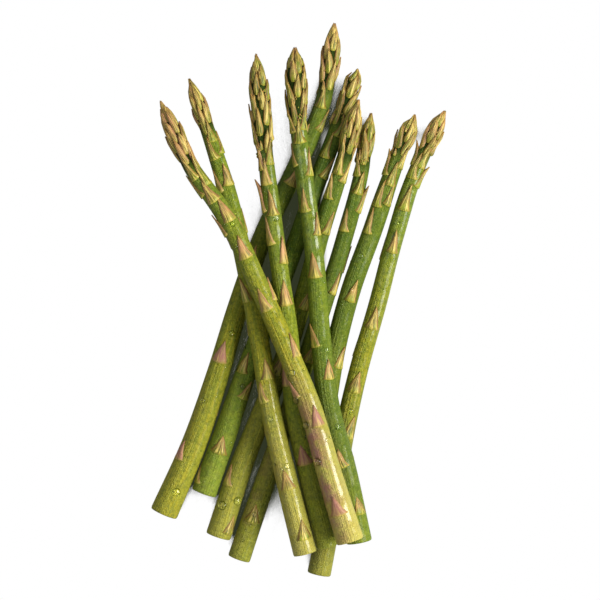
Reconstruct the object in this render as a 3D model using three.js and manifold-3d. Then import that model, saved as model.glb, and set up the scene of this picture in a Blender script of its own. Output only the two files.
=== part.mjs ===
// Bundle of asparagus: ten loose spears that lie across one another on a flat surface.
// Millimetres, +Z up, the tips towards +Y, the surface at z = 0.

import * as THREE from 'three';
import { mergeVertices } from 'three/addons/utils/BufferGeometryUtils.js';
import Module from 'manifold-3d';

const wasm = await Module();
wasm.setup();

// Driving dimensions
const TAPER_POWER = 1.7;
const SHOULDER_LENGTH = 26;
const HEAD_SWELL_LENGTH = 7;
const TIP_POWER = 1.6;
const CORE_SHARE = 0.76;
const STEM_SIDES = 12;
const STEM_RINGS = 9;
const CORE_RINGS = [0.2, 0.45, 0.65, 0.8, 0.92];
const BUTT_BEVEL = 0.6;
const SCALE_LENGTH = 10.5;
const SCALE_HALF_WIDTH = 2.9;
const SCALE_HEIGHT = 0.9;
const SCALE_SINK = 2.2;
const LEAF_SIDES = 4;
const UNDERSIDE_STEP = 23;
const BRACTS_PER_MM = 0.72;
const BRACT_LENGTH_LOW = 11;
const BRACT_LENGTH_TOP = 7;
const BRACT_HALF_WIDTH = 2.3;
const BRACT_HEIGHT = 1.3;
const BUD_COUNT = 4;
const BUD_RADIUS = 1.15;
const SPIRAL_TURN = 137.5;

const EDGE_SINK = 0.2;

// Leaf outlines from the foot to the tip, each step [half width, distance, height], from 0 to 1
const SCALE_OUTLINE = [
  [1, 0.001, 1],
  [0.66, 0.52, 0.75],
];
const BRACT_OUTLINE = [
  [0.6, 0.001, 0.8],
  [1, 0.4, 1],
];
const LEAF_TIP_HEIGHT = 0.35;

const SHIFT_X = 0;
const SHIFT_Y = -0.16;

// The spears. Each route runs from the cut end to the tip, [x, y, z] of the stem's axis.
// Each scale is [distance of its foot from the tip, degrees round the stem from the top].
const SPEARS = {
  spear_a: {
    seed: 11,
    base: 12.4,
    shoulder: 8.6,
    neck: 7.2,
    head: 9.2,
    headLength: 33,
    tipLength: 20,
    floor: false,
    route: [
      [22.4, -106.7, 27.9],
      [13.3, -77.5, 26.9],
      [4.7, -48.2, 25.8],
      [-6.8, -19.8, 24.7],
      [-19.1, 8.1, 23.8],
      [-32.1, 35.8, 23.1],
      [-49.3, 61.1, 22.4],
      [-61.6, 89.0, 21.7],
    ],
    scales: [
      [38, -25], [43, 30], [46, -80], [51, -5], [62, 15], [67, -85], [80, 0], [102, 85],
      [105, -15], [129, 55], [146, -65], [161, 15], [201, -15],
    ],
  },
  spear_b: {
    seed: 18,
    base: 10.6,
    shoulder: 8.0,
    neck: 6.6,
    head: 8.6,
    headLength: 25,
    tipLength: 17,
    floor: false,
    route: [
      [2.4, -113.3, 21.3],
      [-5.3, -82.9, 19.9],
      [-12.5, -52.4, 17.9],
      [-17.8, -21.4, 15.9],
      [-23.5, 9.5, 14.6],
      [-30.3, 40.2, 14.1],
      [-39.4, 70.2, 13.7],
      [-49.9, 99.8, 13.3],
    ],
    scales: [
      [30, 10], [36, 80], [38, -25], [51, 35], [53, -60], [78, 20], [104, -40], [140, 20],
      [150, -45], [190, 0], [213, 20],
    ],
  },
  spear_c: {
    seed: 11,
    base: 10.2,
    shoulder: 8.0,
    neck: 7.0,
    head: 10.2,
    headLength: 46,
    tipLength: 25,
    floor: false,
    route: [
      [12.2, -111.0, 16.2],
      [4.3, -79.9, 15.8],
      [-2.6, -48.5, 15.1],
      [-4.9, -16.4, 14.6],
      [-9.4, 15.4, 14.2],
      [-13.4, 47.2, 13.9],
      [-17.1, 79.1, 13.6],
      [-20.0, 111.0, 13.4],
    ],
    scales: [
      [50, 30], [52, -50], [59, -20], [73, 5], [86, -50], [95, 50], [114, 10], [150, -45],
      [186, -5],
    ],
  },
  spear_d: {
    seed: 11,
    base: 11.8,
    shoulder: 8.2,
    neck: 7.4,
    head: 10.6,
    headLength: 34,
    tipLength: 19,
    floor: false,
    route: [
      [26.7, -108.8, 15.8],
      [20.4, -77.2, 15.5],
      [12.7, -46.0, 15.0],
      [9.1, -14.1, 14.5],
      [6.7, 18.0, 14.0],
      [2.7, 50.0, 13.7],
      [-0.8, 81.9, 13.4],
      [-1.1, 114.0, 13.2],
    ],
    scales: [
      [37, 50], [38, -60], [43, -5], [53, -75], [58, 50], [74, -25], [85, 50], [104, -10],
      [135, -50], [150, 30], [190, -15], [212, 35],
    ],
  },
  spear_e: {
    seed: 60,
    base: 12.8,
    shoulder: 8.6,
    neck: 7.0,
    head: 9.4,
    headLength: 31,
    tipLength: 16,
    floor: true,
    route: [
      [-62.1, -97.3, 6.15],
      [-48.5, -66.1, 5.6],
      [-37.6, -33.9, 5.1],
      [-27.8, -1.3, 4.7],
      [-16.3, 30.7, 4.4],
      [-1.4, 61.4, 4.15],
      [11.0, 92.7, 4.15],
      [15.0, 126.5, 4.1],
    ],
    scales: [
      [39, -10], [49, 55], [60, -40], [77, 15], [120, -10], [164, -15], [211, -35],
    ],
  },
  spear_f: {
    seed: 25,
    base: 11.6,
    shoulder: 8.2,
    neck: 7.2,
    head: 8.6,
    headLength: 26,
    tipLength: 7,
    floor: true,
    route: [
      [-43.8, -88.1, 5.55],
      [-33.9, -60.5, 5.1],
      [-24.4, -32.5, 4.7],
      [-14.0, -5.0, 4.4],
      [-3.3, 22.4, 4.1],
      [6.5, 50.2, 3.95],
      [16.8, 78.1, 3.95],
      [25.4, 105.9, 4.0],
    ],
    scales: [
      [32, 30], [43, -20], [52, 40], [110, 10], [148, -30], [159, 40], [186, 0],
    ],
  },
  spear_g: {
    seed: 25,
    base: 11.6,
    shoulder: 8.2,
    neck: 7.2,
    head: 9.0,
    headLength: 28,
    tipLength: 15,
    floor: true,
    route: [
      [-37.3, -107.8, 5.55],
      [-28.0, -79.2, 5.1],
      [-17.3, -51.7, 4.7],
      [-6.3, -24.0, 4.4],
      [2.5, 4.4, 4.2],
      [10.2, 33.2, 5.0],
      [19.2, 61.6, 9.2],
      [26.0, 90.4, 13.6],
    ],
    scales: [
      [34, -20], [37, 50], [46, -40], [62, 40], [98, 30], [130, -10], [185, -40], [206, 50],
    ],
  },
  spear_h: {
    seed: 25,
    base: 10.4,
    shoulder: 7.6,
    neck: 6.6,
    head: 8.4,
    headLength: 24,
    tipLength: 15,
    floor: true,
    route: [
      [-27.9, -118.1, 4.95],
      [-18.0, -89.3, 4.6],
      [-8.3, -60.7, 4.25],
      [1.2, -31.9, 4.0],
      [10.5, -3.0, 3.8],
      [19.6, 26.0, 3.6],
      [27.4, 55.4, 3.7],
      [31.7, 85.4, 3.7],
    ],
    scales: [
      [29, -50], [37, 10], [46, 30], [55, -30], [84, 45], [117, 25], [160, -30], [194, 0],
    ],
  },
  spear_i: {
    seed: 25,
    base: 10.6,
    shoulder: 8.4,
    neck: 6.8,
    head: 9.2,
    headLength: 20,
    tipLength: 11,
    floor: true,
    route: [
      [1.4, -105.0, 5.05],
      [6.3, -77.3, 4.7],
      [11.5, -49.6, 4.4],
      [16.2, -21.9, 4.15],
      [23.4, 5.3, 3.95],
      [33.1, 31.8, 3.85],
      [42.2, 58.3, 3.85],
      [52.7, 84.5, 3.9],
    ],
    scales: [
      [25, 45], [28, -70], [34, 10], [43, 40], [45, -35], [58, -35], [90, 15], [121, 50],
      [150, 0],
    ],
  },
  spear_j: {
    seed: 11,
    base: 10.8,
    shoulder: 8.2,
    neck: 6.6,
    head: 9.2,
    headLength: 22,
    tipLength: 14,
    floor: true,
    route: [
      [8.7, -125.1, 5.15],
      [14.8, -94.2, 4.8],
      [19.8, -63.1, 4.5],
      [26.6, -32.4, 4.25],
      [35.3, -2.2, 4.05],
      [43.3, 28.3, 3.95],
      [52.9, 58.3, 3.95],
      [67.3, 85.8, 4.0],
    ],
    scales: [
      [28, 15], [34, -30], [39, 60], [49, 0], [69, 5], [105, 5], [135, 0], [156, 30],
      [187, -10],
    ],
  },
};

// A repeatable row of numbers from 0 to 1
function makeRandom(seed) {
  let state = seed;
  return () => {
    state = (state * 1664525 + 1013904223) % 4294967296;
    return state / 4294967296;
  };
}

// The outer radius of a spear at a distance from its cut end: the stem narrows to the neck,
// the head swells above it and narrows to the tip
function outerRadius(spear, along) {
  const fromTip = Math.max(spear.length - along, 0);
  if (fromTip > spear.headLength + SHOULDER_LENGTH) {
    const stemLength = spear.length - spear.headLength - SHOULDER_LENGTH;
    const share = 1 - Math.max(along, 0) / stemLength;
    return (spear.shoulder + (spear.base - spear.shoulder) * share ** TAPER_POWER) / 2;
  }
  if (fromTip > spear.headLength) {
    const share = (fromTip - spear.headLength) / SHOULDER_LENGTH;
    return (spear.neck + (spear.shoulder - spear.neck) * share) / 2;
  }
  const swell = Math.min((spear.headLength - fromTip) / HEAD_SWELL_LENGTH, 1);
  const full = (spear.neck + (spear.head - spear.neck) * swell) / 2;
  const narrow = Math.max(1 - fromTip / spear.tipLength, 0);
  return full * (1 - narrow ** TIP_POWER);
}

// The core of the head is thinner than the head, so that the bracts make the outline
function coreRadius(spear, along) {
  const inHead = Math.min(Math.max((along - spear.length + spear.headLength) / 6, 0), 1);
  return outerRadius(spear, along) * (1 - (1 - CORE_SHARE) * inHead);
}

// A point beside the route: along it, round it from the top, and out from its axis
function pointOnSpear(spear, along, around, out) {
  const share = Math.min(Math.max(along / spear.length, 0), 1);
  const centre = spear.curve.getPointAt(share);
  const forward = spear.curve.getTangentAt(share);
  const right = new THREE.Vector3().crossVectors(forward, new THREE.Vector3(0, 0, 1)).normalize();
  const top = new THREE.Vector3().crossVectors(right, forward);
  centre.addScaledVector(forward, along - share * spear.length);
  centre.addScaledVector(right, Math.sin(around) * out);
  centre.addScaledVector(top, Math.cos(around) * out);
  return centre;
}

// Moves each vertex of a geometry to where a rule puts it
function reshape(geometry, rule) {
  const position = geometry.getAttribute('position');
  for (let i = 0; i < position.count; i += 1) {
    const moved = rule(position.getX(i), position.getY(i), position.getZ(i));
    position.setXYZ(i, moved.x, moved.y, moved.z);
  }
  return geometry;
}

// A closed solid of a geometry
function solidOf(geometry) {
  geometry.deleteAttribute('normal');
  geometry.deleteAttribute('uv');
  const merged = mergeVertices(geometry, 1e-4);
  const index = merged.getIndex().array;
  const kept = [];
  for (let i = 0; i < index.length; i += 3) {
    const [a, b, c] = [index[i], index[i + 1], index[i + 2]];
    if (a !== b && b !== c && c !== a) {
      kept.push(a, b, c);
    }
  }
  const mesh = new wasm.Mesh({
    numProp: 3,
    vertProperties: new Float32Array(merged.getAttribute('position').array),
    triVerts: new Uint32Array(kept),
  });
  return new wasm.Manifold(mesh);
}

// The stem with the core of its head, turned as one piece and bent onto the route
function makeStem(spear) {
  const stemLength = spear.length - spear.headLength;
  const profile = [new THREE.Vector2(0, 0)];
  profile.push(new THREE.Vector2(outerRadius(spear, 0) - BUTT_BEVEL, 0));
  profile.push(new THREE.Vector2(outerRadius(spear, 0), BUTT_BEVEL));
  for (let i = 1; i <= STEM_RINGS; i += 1) {
    const along = (stemLength * i) / STEM_RINGS;
    profile.push(new THREE.Vector2(coreRadius(spear, along), along));
  }
  for (const share of CORE_RINGS) {
    const along = stemLength + spear.headLength * share;
    profile.push(new THREE.Vector2(coreRadius(spear, along), along));
  }
  profile.push(new THREE.Vector2(0, spear.length - 0.8));
  const turned = new THREE.LatheGeometry(profile, STEM_SIDES);
  reshape(turned, (x, y, z) => pointOnSpear(spear, y, Math.atan2(x, z), Math.hypot(x, z)));
  return solidOf(turned);
}

// One pointed leaf scale: a keeled wedge, its foot a low ledge, its root sunk in the stem
function makeScale(spear, leaf) {
  const profile = [new THREE.Vector2(0, 0)];
  for (const [width, along] of leaf.outline) {
    profile.push(new THREE.Vector2(width, along));
  }
  profile.push(new THREE.Vector2(0, 1));
  const blade = new THREE.LatheGeometry(profile, LEAF_SIDES);
  reshape(blade, (x, y, z) => {
    const width = Math.hypot(x, z);
    const step = leaf.outline.find(([, distance]) => Math.abs(distance - y) < 0.01);
    const along = leaf.foot + y * leaf.length;
    const surface = leaf.surface(along);
    let raised = y > 0.5 ? LEAF_TIP_HEIGHT * leaf.height : -SCALE_SINK / 2;
    if (width > 0) {
      const facing = Math.round(z / width);
      raised = [-SCALE_SINK, -EDGE_SINK, step[2] * leaf.height][facing + 1];
    }
    const out = Math.max(surface + raised, 0.3);
    const across = width > 0 ? x * leaf.halfWidth : 0;
    return pointOnSpear(spear, along, leaf.around + across / Math.max(surface, 1.4), out);
  });
  return solidOf(blade);
}

// A small round bud that shows between the bracts
function makeBud(spear, along, around, radius) {
  const ball = new THREE.IcosahedronGeometry(radius, 0);
  const seat = pointOnSpear(spear, along, around, coreRadius(spear, along) + 0.1 * radius);
  ball.translate(seat.x, seat.y, seat.z);
  return solidOf(ball);
}

// One spear with its scales, bracts and buds in one solid
function makeSpear(plan) {
  const points = plan.route.map(([x, y, z]) => new THREE.Vector3(x + SHIFT_X, y + SHIFT_Y, z));
  const curve = new THREE.CatmullRomCurve3(points, false, 'centripetal');
  curve.arcLengthDivisions = 400;
  const spear = { ...plan, curve, length: curve.getLength() };
  const random = makeRandom(plan.seed);
  const degrees = Math.PI / 180;
  const stemSurface = (along) => outerRadius(spear, along) - 0.15;
  const coreSurface = (along) => coreRadius(spear, Math.min(along, spear.length - 2)) - 0.1;
  const leaves = [];

  for (const [fromTip, around] of plan.scales) {
    leaves.push({
      foot: spear.length - fromTip,
      around: around * degrees,
      length: SCALE_LENGTH * (0.9 + 0.25 * random()),
      halfWidth: SCALE_HALF_WIDTH * (0.9 + 0.2 * random()),
      height: SCALE_HEIGHT,
      outline: SCALE_OUTLINE,
      surface: stemSurface,
    });
  }

  let turn = 150 + 60 * random();
  for (let fromTip = 50; fromTip < spear.length - 12; fromTip += UNDERSIDE_STEP) {
    leaves.push({
      foot: spear.length - fromTip,
      around: turn * degrees,
      length: SCALE_LENGTH * (0.9 + 0.25 * random()),
      halfWidth: SCALE_HALF_WIDTH * (0.9 + 0.2 * random()),
      height: SCALE_HEIGHT * 0.8,
      outline: SCALE_OUTLINE,
      surface: stemSurface,
    });
    turn = turn > 180 ? turn - 75 : turn + 62;
  }

  let bractTurn = 360 * random();
  const bractCount = Math.round(BRACTS_PER_MM * spear.headLength);
  for (let i = 0; i < bractCount; i += 1) {
    const share = i / (bractCount - 1);
    const fromTip = spear.headLength + 1 - (spear.headLength - 4) * share;
    const along = spear.length - fromTip;
    const length = BRACT_LENGTH_LOW + (BRACT_LENGTH_TOP - BRACT_LENGTH_LOW) * share;
    leaves.push({
      foot: along,
      around: bractTurn * degrees,
      length: Math.min(length, fromTip - 0.2),
      halfWidth: Math.min(BRACT_HALF_WIDTH, 0.8 * outerRadius(spear, along)),
      height: BRACT_HEIGHT * (1 - 0.3 * share),
      outline: BRACT_OUTLINE,
      surface: coreSurface,
    });
    bractTurn += SPIRAL_TURN + 12 * (random() - 0.5);
  }

  const pieces = [makeStem(spear)];
  for (const leaf of leaves) {
    pieces.push(makeScale(spear, leaf));
  }
  for (let i = 0; i < BUD_COUNT; i += 1) {
    const along = spear.length - 0.65 * spear.headLength + 3.6 * i;
    pieces.push(makeBud(spear, along, (bractTurn + 60 + 100 * i) * degrees, BUD_RADIUS));
  }
  let whole = pieces[0];
  for (const piece of pieces.slice(1)) {
    whole = whole.add(piece);
  }
  if (plan.floor) {
    const slab = new THREE.BoxGeometry(400, 400, 40);
    slab.translate(0, 0, -20);
    whole = whole.subtract(solidOf(slab));
  }
  return whole.asOriginal().simplify(0.06);
}

// A named mesh of a closed solid
function meshOf(name, solid, colour) {
  const data = solid.getMesh();
  const geometry = new THREE.BufferGeometry();
  geometry.setAttribute('position', new THREE.BufferAttribute(new Float32Array(data.vertProperties), 3));
  geometry.setIndex(new THREE.BufferAttribute(new Uint32Array(data.triVerts), 1));
  geometry.computeVertexNormals();
  const mesh = new THREE.Mesh(geometry, new THREE.MeshStandardMaterial({ color: colour, roughness: 0.45 }));
  mesh.name = name;
  return mesh;
}

const bundle = new THREE.Group();
bundle.name = 'bundle_of_asparagus';
for (const [name, plan] of Object.entries(SPEARS)) {
  bundle.add(meshOf(name, makeSpear(plan), 0x7f9a36));
}

export default bundle;
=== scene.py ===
# %% [markdown]
# # A bundle of asparagus
# Ten fresh spears lie loose across one another on a pale surface, seen from straight above.
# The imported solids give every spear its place. This lesson grows a finer spear over each one:
# a smooth ribbed stem, thin leaf scales, fleshy bracts on the head, small buds and water drops.

import math
import random

import bmesh
import bpy
import numpy as np
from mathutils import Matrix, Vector


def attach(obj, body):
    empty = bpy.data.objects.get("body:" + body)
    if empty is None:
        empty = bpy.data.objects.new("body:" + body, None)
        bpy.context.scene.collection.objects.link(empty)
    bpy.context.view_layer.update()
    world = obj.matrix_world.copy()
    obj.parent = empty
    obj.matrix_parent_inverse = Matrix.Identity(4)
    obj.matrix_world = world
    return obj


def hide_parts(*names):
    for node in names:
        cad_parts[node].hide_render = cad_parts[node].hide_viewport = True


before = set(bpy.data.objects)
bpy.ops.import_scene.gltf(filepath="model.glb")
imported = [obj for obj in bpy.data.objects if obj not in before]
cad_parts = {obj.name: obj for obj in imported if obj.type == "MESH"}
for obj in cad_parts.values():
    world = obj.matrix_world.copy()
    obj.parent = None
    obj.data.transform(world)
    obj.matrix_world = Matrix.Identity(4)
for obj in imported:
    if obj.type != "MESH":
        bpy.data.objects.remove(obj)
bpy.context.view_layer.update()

# %% [markdown]
# ## The spears' measures
# Each spear is described the way a grower would: how thick it is at the cut end, at the
# shoulder, at the neck and in the head, and where its stem runs. The route points go from
# the cut end to the tip. Each scale is a distance from the tip and an angle round the stem,
# and one that stands well off its stem also has a length and a lift. All of it is in
# millimetres and degrees, and is turned into metres when it is used.

# %% The measures of the ten spears
MM = 0.001
SHIFT = (0.0, -0.16, 0.0)  # puts the bunch over the middle of the frame
TAPER_POWER = 1.7
SHOULDER_LENGTH = 26.0
HEAD_SWELL_LENGTH = 7.0
TIP_POWER = 2.3
BLUNT_TIPS = {"c": 3.0, "d": 3.2}
BRACT_DEPTH = 1.25
CORE_FADE = 6.0  # over this length the stem narrows to the core of the head
SPIRAL_TURN = 137.5
HEAD_LEAN = {  # how far each tip leans to the right of its route
    "a": -0.7, "b": 0.0, "c": 0.1, "d": -1.1, "e": 0.8, "f": 0.9, "g": 0.4, "h": 0.8, "i": -0.4, "j": -1.4,
}
LEAN_REACH = 12.0  # the lean starts this far below the head
LEAN_POWER = 1.4

SPEARS = {
    "a": dict(
        base=12.4, shoulder=8.6, neck=7.2, head=9.2, head_length=33, tip_length=20,
        route=[(22.4, -106.7, 27.9), (13.3, -77.5, 26.9), (4.7, -48.2, 25.8), (-6.8, -19.8, 24.7),
               (-19.1, 8.1, 23.8), (-32.1, 35.8, 23.1), (-49.3, 61.1, 22.4), (-61.6, 89.0, 21.7)],
        scales=[(38, -25), (43, 34, 16.5, 0.6), (46, -80), (51, -5), (62, 15), (67, -85), (80, 0), (102, 85),
                (105, -15), (129, 55), (146, -65), (161, 15), (201, -15)],
    ),
    "b": dict(
        base=10.6, shoulder=8.0, neck=6.6, head=8.6, head_length=25, tip_length=17,
        route=[(2.4, -113.3, 21.3), (-5.3, -82.9, 19.9), (-12.5, -52.4, 17.9), (-17.8, -21.4, 15.9),
               (-23.5, 9.5, 14.6), (-30.3, 40.2, 14.1), (-39.4, 70.2, 13.7), (-49.9, 99.8, 13.3)],
        scales=[(30, 10), (36, 80), (38, -25), (51, 35), (53, -60), (78, 20), (104, -40), (140, 20),
                (150, -45), (190, 0), (213, 20)],
    ),
    "c": dict(
        base=10.2, shoulder=8.0, neck=7.0, head=10.2, head_length=46, tip_length=25,
        route=[(12.2, -111.0, 16.2), (4.3, -79.9, 15.8), (-2.6, -48.5, 15.1), (-4.9, -16.4, 14.6),
               (-9.4, 15.4, 14.2), (-13.4, 47.2, 13.9), (-17.1, 79.1, 13.6), (-20.0, 111.0, 13.4)],
        scales=[(50, 30), (52, -50), (59, -20), (71, -80, 15.0, 2.2), (73, 5), (86, -50), (95, 50),
                (114, 10), (150, -45), (186, -5)],
    ),
    "d": dict(
        base=11.8, shoulder=8.2, neck=7.4, head=10.6, head_length=34, tip_length=19,
        route=[(26.7, -108.8, 15.8), (20.4, -77.2, 15.5), (12.7, -46.0, 15.0), (9.1, -14.1, 14.5),
               (6.7, 18.0, 14.0), (2.7, 50.0, 13.7), (-0.8, 81.9, 13.4), (-1.1, 114.0, 13.2)],
        scales=[(37, 50), (38, -60), (43, -5), (53, -75), (58, 50), (74, -25), (85, 50), (104, -10),
                (135, -50), (150, 30), (190, -15), (212, 35)],
    ),
    "e": dict(
        base=12.8, shoulder=8.6, neck=7.0, head=9.4, head_length=31, tip_length=16,
        route=[(-62.1, -97.3, 6.15), (-48.5, -66.1, 5.6), (-37.6, -33.9, 5.1), (-27.8, -1.3, 4.7),
               (-16.3, 30.7, 4.4), (-1.4, 61.4, 4.15), (11.0, 92.7, 4.15), (15.0, 126.5, 4.1)],
        scales=[(39, -10), (49, 55), (60, -40), (77, 15), (120, -10), (164, -15), (212, -58)],
    ),
    "f": dict(
        base=11.6, shoulder=8.2, neck=7.2, head=8.6, head_length=26, tip_length=7,
        route=[(-43.8, -88.1, 5.55), (-33.9, -60.5, 5.1), (-24.4, -32.5, 4.7), (-14.0, -5.0, 4.4),
               (-3.3, 22.4, 4.1), (6.5, 50.2, 3.95), (16.8, 78.1, 3.95), (25.4, 105.9, 4.0)],
        scales=[(32, 30), (43, -20), (52, 40), (110, 10), (148, -30), (159, 40), (186, 0), (202, -78)],
    ),
    "g": dict(
        base=11.6, shoulder=8.2, neck=7.2, head=9.0, head_length=28, tip_length=15,
        route=[(-37.3, -107.8, 5.55), (-28.0, -79.2, 5.1), (-17.3, -51.7, 4.7), (-6.3, -24.0, 4.4),
               (2.5, 4.4, 4.2), (10.2, 33.2, 5.0), (19.2, 61.6, 9.2), (26.0, 90.4, 13.6)],
        scales=[(34, -20), (37, 50), (46, -40), (62, 40), (98, 30), (130, -10), (185, -60), (206, 50)],
    ),
    "h": dict(
        base=10.4, shoulder=7.6, neck=6.6, head=8.4, head_length=24, tip_length=15,
        route=[(-27.9, -118.1, 4.95), (-18.0, -89.3, 4.6), (-8.3, -60.7, 4.25), (1.2, -31.9, 4.0),
               (10.5, -3.0, 3.8), (19.6, 26.0, 3.6), (27.4, 55.4, 3.7), (31.7, 85.4, 3.7)],
        scales=[(29, -50), (37, 10), (45, 66, 12.5, 1.9), (55, -30), (84, 45), (117, 25), (160, -30), (194, 0)],
    ),
    "i": dict(
        base=10.6, shoulder=8.9, neck=7.1, head=9.4, head_length=20, tip_length=11,
        route=[(1.4, -105.0, 5.05), (6.3, -77.3, 4.7), (11.5, -49.6, 4.4), (16.2, -21.9, 4.15),
               (23.4, 5.3, 3.95), (33.1, 31.8, 3.85), (42.2, 58.3, 3.85), (52.7, 84.5, 3.9)],
        scales=[(25, 45), (30, -76, 11.5, 1.5), (34, 10), (43, 40), (45, -35), (58, -35), (90, 15), (121, 50),
                (150, 0)],
    ),
    "j": dict(
        base=10.8, shoulder=7.9, neck=6.6, head=9.2, head_length=22, tip_length=14,
        route=[(8.7, -125.1, 5.15), (14.8, -94.2, 4.8), (19.8, -63.1, 4.5), (26.6, -32.4, 4.25),
               (35.3, -2.2, 4.05), (43.3, 28.3, 3.95), (52.9, 58.3, 3.95), (67.3, 85.8, 4.0)],
        scales=[(28, 15), (28, -72, 10.5, 1.4), (34, -30), (37, 66, 11.0, 1.5), (49, 0), (69, 5),
                (105, 5), (135, 0), (156, 30), (187, -10)],
    ),
}
print(len(SPEARS), "spears")

# %% [markdown]
# ## The route of a stem
# A stem bends gently, so its middle line is a smooth curve through a few points, the
# centripetal Catmull-Rom curve that the solids use too. It is sampled finely once, and any
# place on the spear is then found from three numbers: how far along, which way round, and
# how far out from the middle.

# %% Smooth routes
def route_samples(points, steps=60):
    """Closely spaced points on the smooth curve through the route points."""
    ends = [2 * points[0] - points[1], *points, 2 * points[-1] - points[-2]]
    found = []
    for p0, p1, p2, p3 in zip(ends, ends[1:], ends[2:], ends[3:]):
        t1 = np.linalg.norm(p1 - p0) ** 0.5
        t2 = t1 + np.linalg.norm(p2 - p1) ** 0.5
        t3 = t2 + np.linalg.norm(p3 - p2) ** 0.5
        for t in np.linspace(t1, t2, steps, endpoint=False):
            a1 = (t1 - t) / t1 * p0 + t / t1 * p1
            a2 = (t2 - t) / (t2 - t1) * p1 + (t - t1) / (t2 - t1) * p2
            a3 = (t3 - t) / (t3 - t2) * p2 + (t - t2) / (t3 - t2) * p3
            b1 = (t2 - t) / t2 * a1 + t / t2 * a2
            b2 = (t3 - t) / (t3 - t1) * a2 + (t - t1) / (t3 - t1) * a3
            found.append((t2 - t) / (t2 - t1) * b1 + (t - t1) / (t2 - t1) * b2)
    found.append(points[-1])
    return np.array(found)


for name, spear in SPEARS.items():
    spear["lean"] = HEAD_LEAN[name]
    spear["tip_power"] = BLUNT_TIPS.get(name, TIP_POWER)
    line = route_samples([np.array(p, float) + SHIFT for p in spear["route"]])
    spear["line"] = line
    spear["marks"] = np.concatenate([[0], np.cumsum(np.linalg.norm(np.diff(line, axis=0), axis=1))])
    spear["length"] = float(spear["marks"][-1])
    forward = np.gradient(line, spear["marks"], axis=0)
    spear["forward"] = forward / np.linalg.norm(forward, axis=1)[:, None]
print({name: round(s["length"], 1) for name, s in SPEARS.items()}, "mm long")


# %% [markdown]
# ## Places on a spear
# The radius follows the rule of the solid, thick at the cut, slim at the neck and full in the
# head, but stays a little fuller towards the tip. The head's core is slimmer still, because
# the fleshy bracts stand on it. place() turns a distance along, an angle and a distance out
# into a point in the scene.

# %% Places on a spear
def outer_radius(spear, along):
    """The radius of the stem and head, in mm, at a distance from the cut end."""
    from_tip = np.maximum(spear["length"] - along, 0)
    lower = spear["length"] - spear["head_length"] - SHOULDER_LENGTH
    share = np.clip(1 - np.maximum(along, 0) / lower, 0, 1)
    stem = (spear["shoulder"] + (spear["base"] - spear["shoulder"]) * share ** TAPER_POWER) / 2
    up = np.clip((from_tip - spear["head_length"]) / SHOULDER_LENGTH, 0, 1)
    shoulder = (spear["neck"] + (spear["shoulder"] - spear["neck"]) * up) / 2
    swell = np.clip((spear["head_length"] - from_tip) / HEAD_SWELL_LENGTH, 0, 1)
    full = (spear["neck"] + (spear["head"] - spear["neck"]) * swell) / 2
    narrow = np.clip(1 - from_tip / spear["tip_length"], 0, 1)
    head = full * (1 - narrow ** spear["tip_power"])
    above = from_tip < spear["head_length"]
    return np.where(above, head, np.where(up < 1, shoulder, stem))


def core_radius(spear, along):
    """The slimmer core that the bracts of the head stand on."""
    inside = np.clip((along - spear["length"] + spear["head_length"]) / CORE_FADE, 0, 1)
    outer = outer_radius(spear, along)
    return outer - inside * np.minimum(BRACT_DEPTH, 0.5 * outer)


def place(spear, along, around, out):
    """Points in metres, from mm along, radians round from the top, and mm out."""
    marks, length = spear["marks"], spear["length"]
    held = np.clip(along, 0, length)
    centre = np.stack([np.interp(held, marks, spear["line"][:, k]) for k in range(3)], axis=-1)
    ahead = np.stack([np.interp(held, marks, spear["forward"][:, k]) for k in range(3)], axis=-1)
    right = np.cross(ahead, (0, 0, 1))
    right /= np.linalg.norm(right, axis=-1, keepdims=True)
    top = np.cross(right, ahead)
    lean_foot = length - spear["head_length"] - LEAN_REACH
    lean = spear["lean"] * np.clip((held - lean_foot) / (length - lean_foot), 0, 1) ** LEAN_POWER
    spot = centre + ahead * (along - held)[..., None] + right * lean[..., None]
    spot = spot + right * (np.sin(around) * out)[..., None] + top * (np.cos(around) * out)[..., None]
    spot[..., 2] = np.maximum(spot[..., 2], 0.0)  # the lowest spears are flat where they lie
    return spot * MM


# %% [markdown]
# ## Small helpers for meshes
# Every piece starts as a bmesh operator's shape whose corners lie in plain coordinates.
# The corners are then moved all at once to where a rule puts them, and the mesh becomes an
# object that sits at the origin and rides on the one body, root.

# %% Mesh helpers
def corner_array(bm):
    return np.array([v.co for v in bm.verts], float)


def move_corners(bm, spots):
    for vert, spot in zip(bm.verts, spots):
        vert.co = spot


def keep_values(mesh, name, values):
    """Stores one number for each corner of the mesh, for the material to read."""
    attribute = mesh.attributes.new(name, "FLOAT", "POINT")
    attribute.data.foreach_set("value", np.asarray(values, np.float32))


def copies_of(template, count):
    """One bmesh with the same small mesh in it many times, one after the other."""
    bm = bmesh.new()
    for _ in range(count):
        bm.from_mesh(template)
    return bm


def template_mesh(name, bm):
    mesh = bpy.data.meshes.new(name)
    bm.to_mesh(mesh)
    corners = corner_array(bm)
    bm.free()
    return mesh, corners


def new_object(name, data):
    thing = bpy.data.objects.new(name, data)
    bpy.context.scene.collection.objects.link(thing)
    return thing


def finished_piece(name, bm, material):
    """The bmesh as a smooth object with its material, riding on the root body."""
    mesh = bpy.data.meshes.new(name)
    bm.to_mesh(mesh)
    bm.free()
    mesh.materials.append(material)
    mesh.shade_smooth()
    piece = new_object(name, mesh)
    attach(piece, "root")
    return piece


# %% [markdown]
# ## Node helpers
# A material is a small graph of nodes. These helpers add one node each, set its inputs or
# link them, and hand back what comes out, so that a finish reads like a short recipe.

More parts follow.
